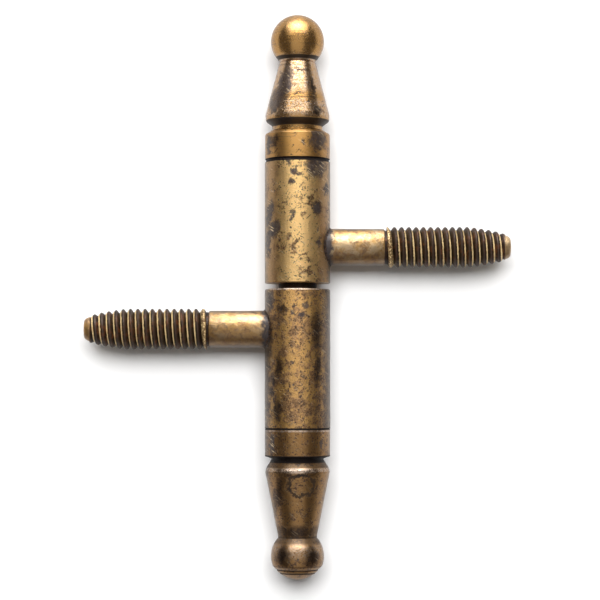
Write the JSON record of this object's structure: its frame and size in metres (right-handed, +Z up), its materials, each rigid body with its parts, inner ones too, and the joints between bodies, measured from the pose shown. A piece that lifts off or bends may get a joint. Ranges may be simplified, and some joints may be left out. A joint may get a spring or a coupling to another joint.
{
  "type": "lift-off barrel hinge",
  "caption": "Screw-in barrel hinge: bored barrels on a common pin, each with a brazed threaded stud and a turned finial; the upper half turns and lifts off.",
  "frame": {"origin": "on the pin's axis, at the middle of the hinge's height", "axes": "+Z up the pin, towards the half that lifts off; +X along the leaf's stud, so the frame's stud points along -X"},
  "size_m": [0.0828, 0.0126, 0.1102],
  "materials": {
    "upper_brass": "aged, worn bright",
    "lower_brass": "aged, dull",
    "stud_brass": "aged, cut threads",
    "ring_brass": "dark",
    "pin_steel": "ground"
  },
  "bodies": {
    "lower_knuckle": {"lower_barrel": "lower_brass", "lower_stud": "stud_brass", "lower_finial": "lower_brass", "hinge_pin": "pin_steel"},
    "ring": {"bearing_ring": "ring_brass"},
    "upper_knuckle": {"upper_barrel": "upper_brass", "upper_stud": "stud_brass", "upper_finial": "upper_brass"}
  },
  "joints": [
    {"name": "turn", "type": "hinge", "parent": "lower_knuckle", "child": "ring", "pos_m": [0, 0, 0], "axis": [0, 0, -1], "continuous": true},
    {"name": "lift_off", "type": "slide", "parent": "ring", "child": "upper_knuckle", "axis": [0, 0, 1], "range_m": [0, 0.02]}
  ]
}
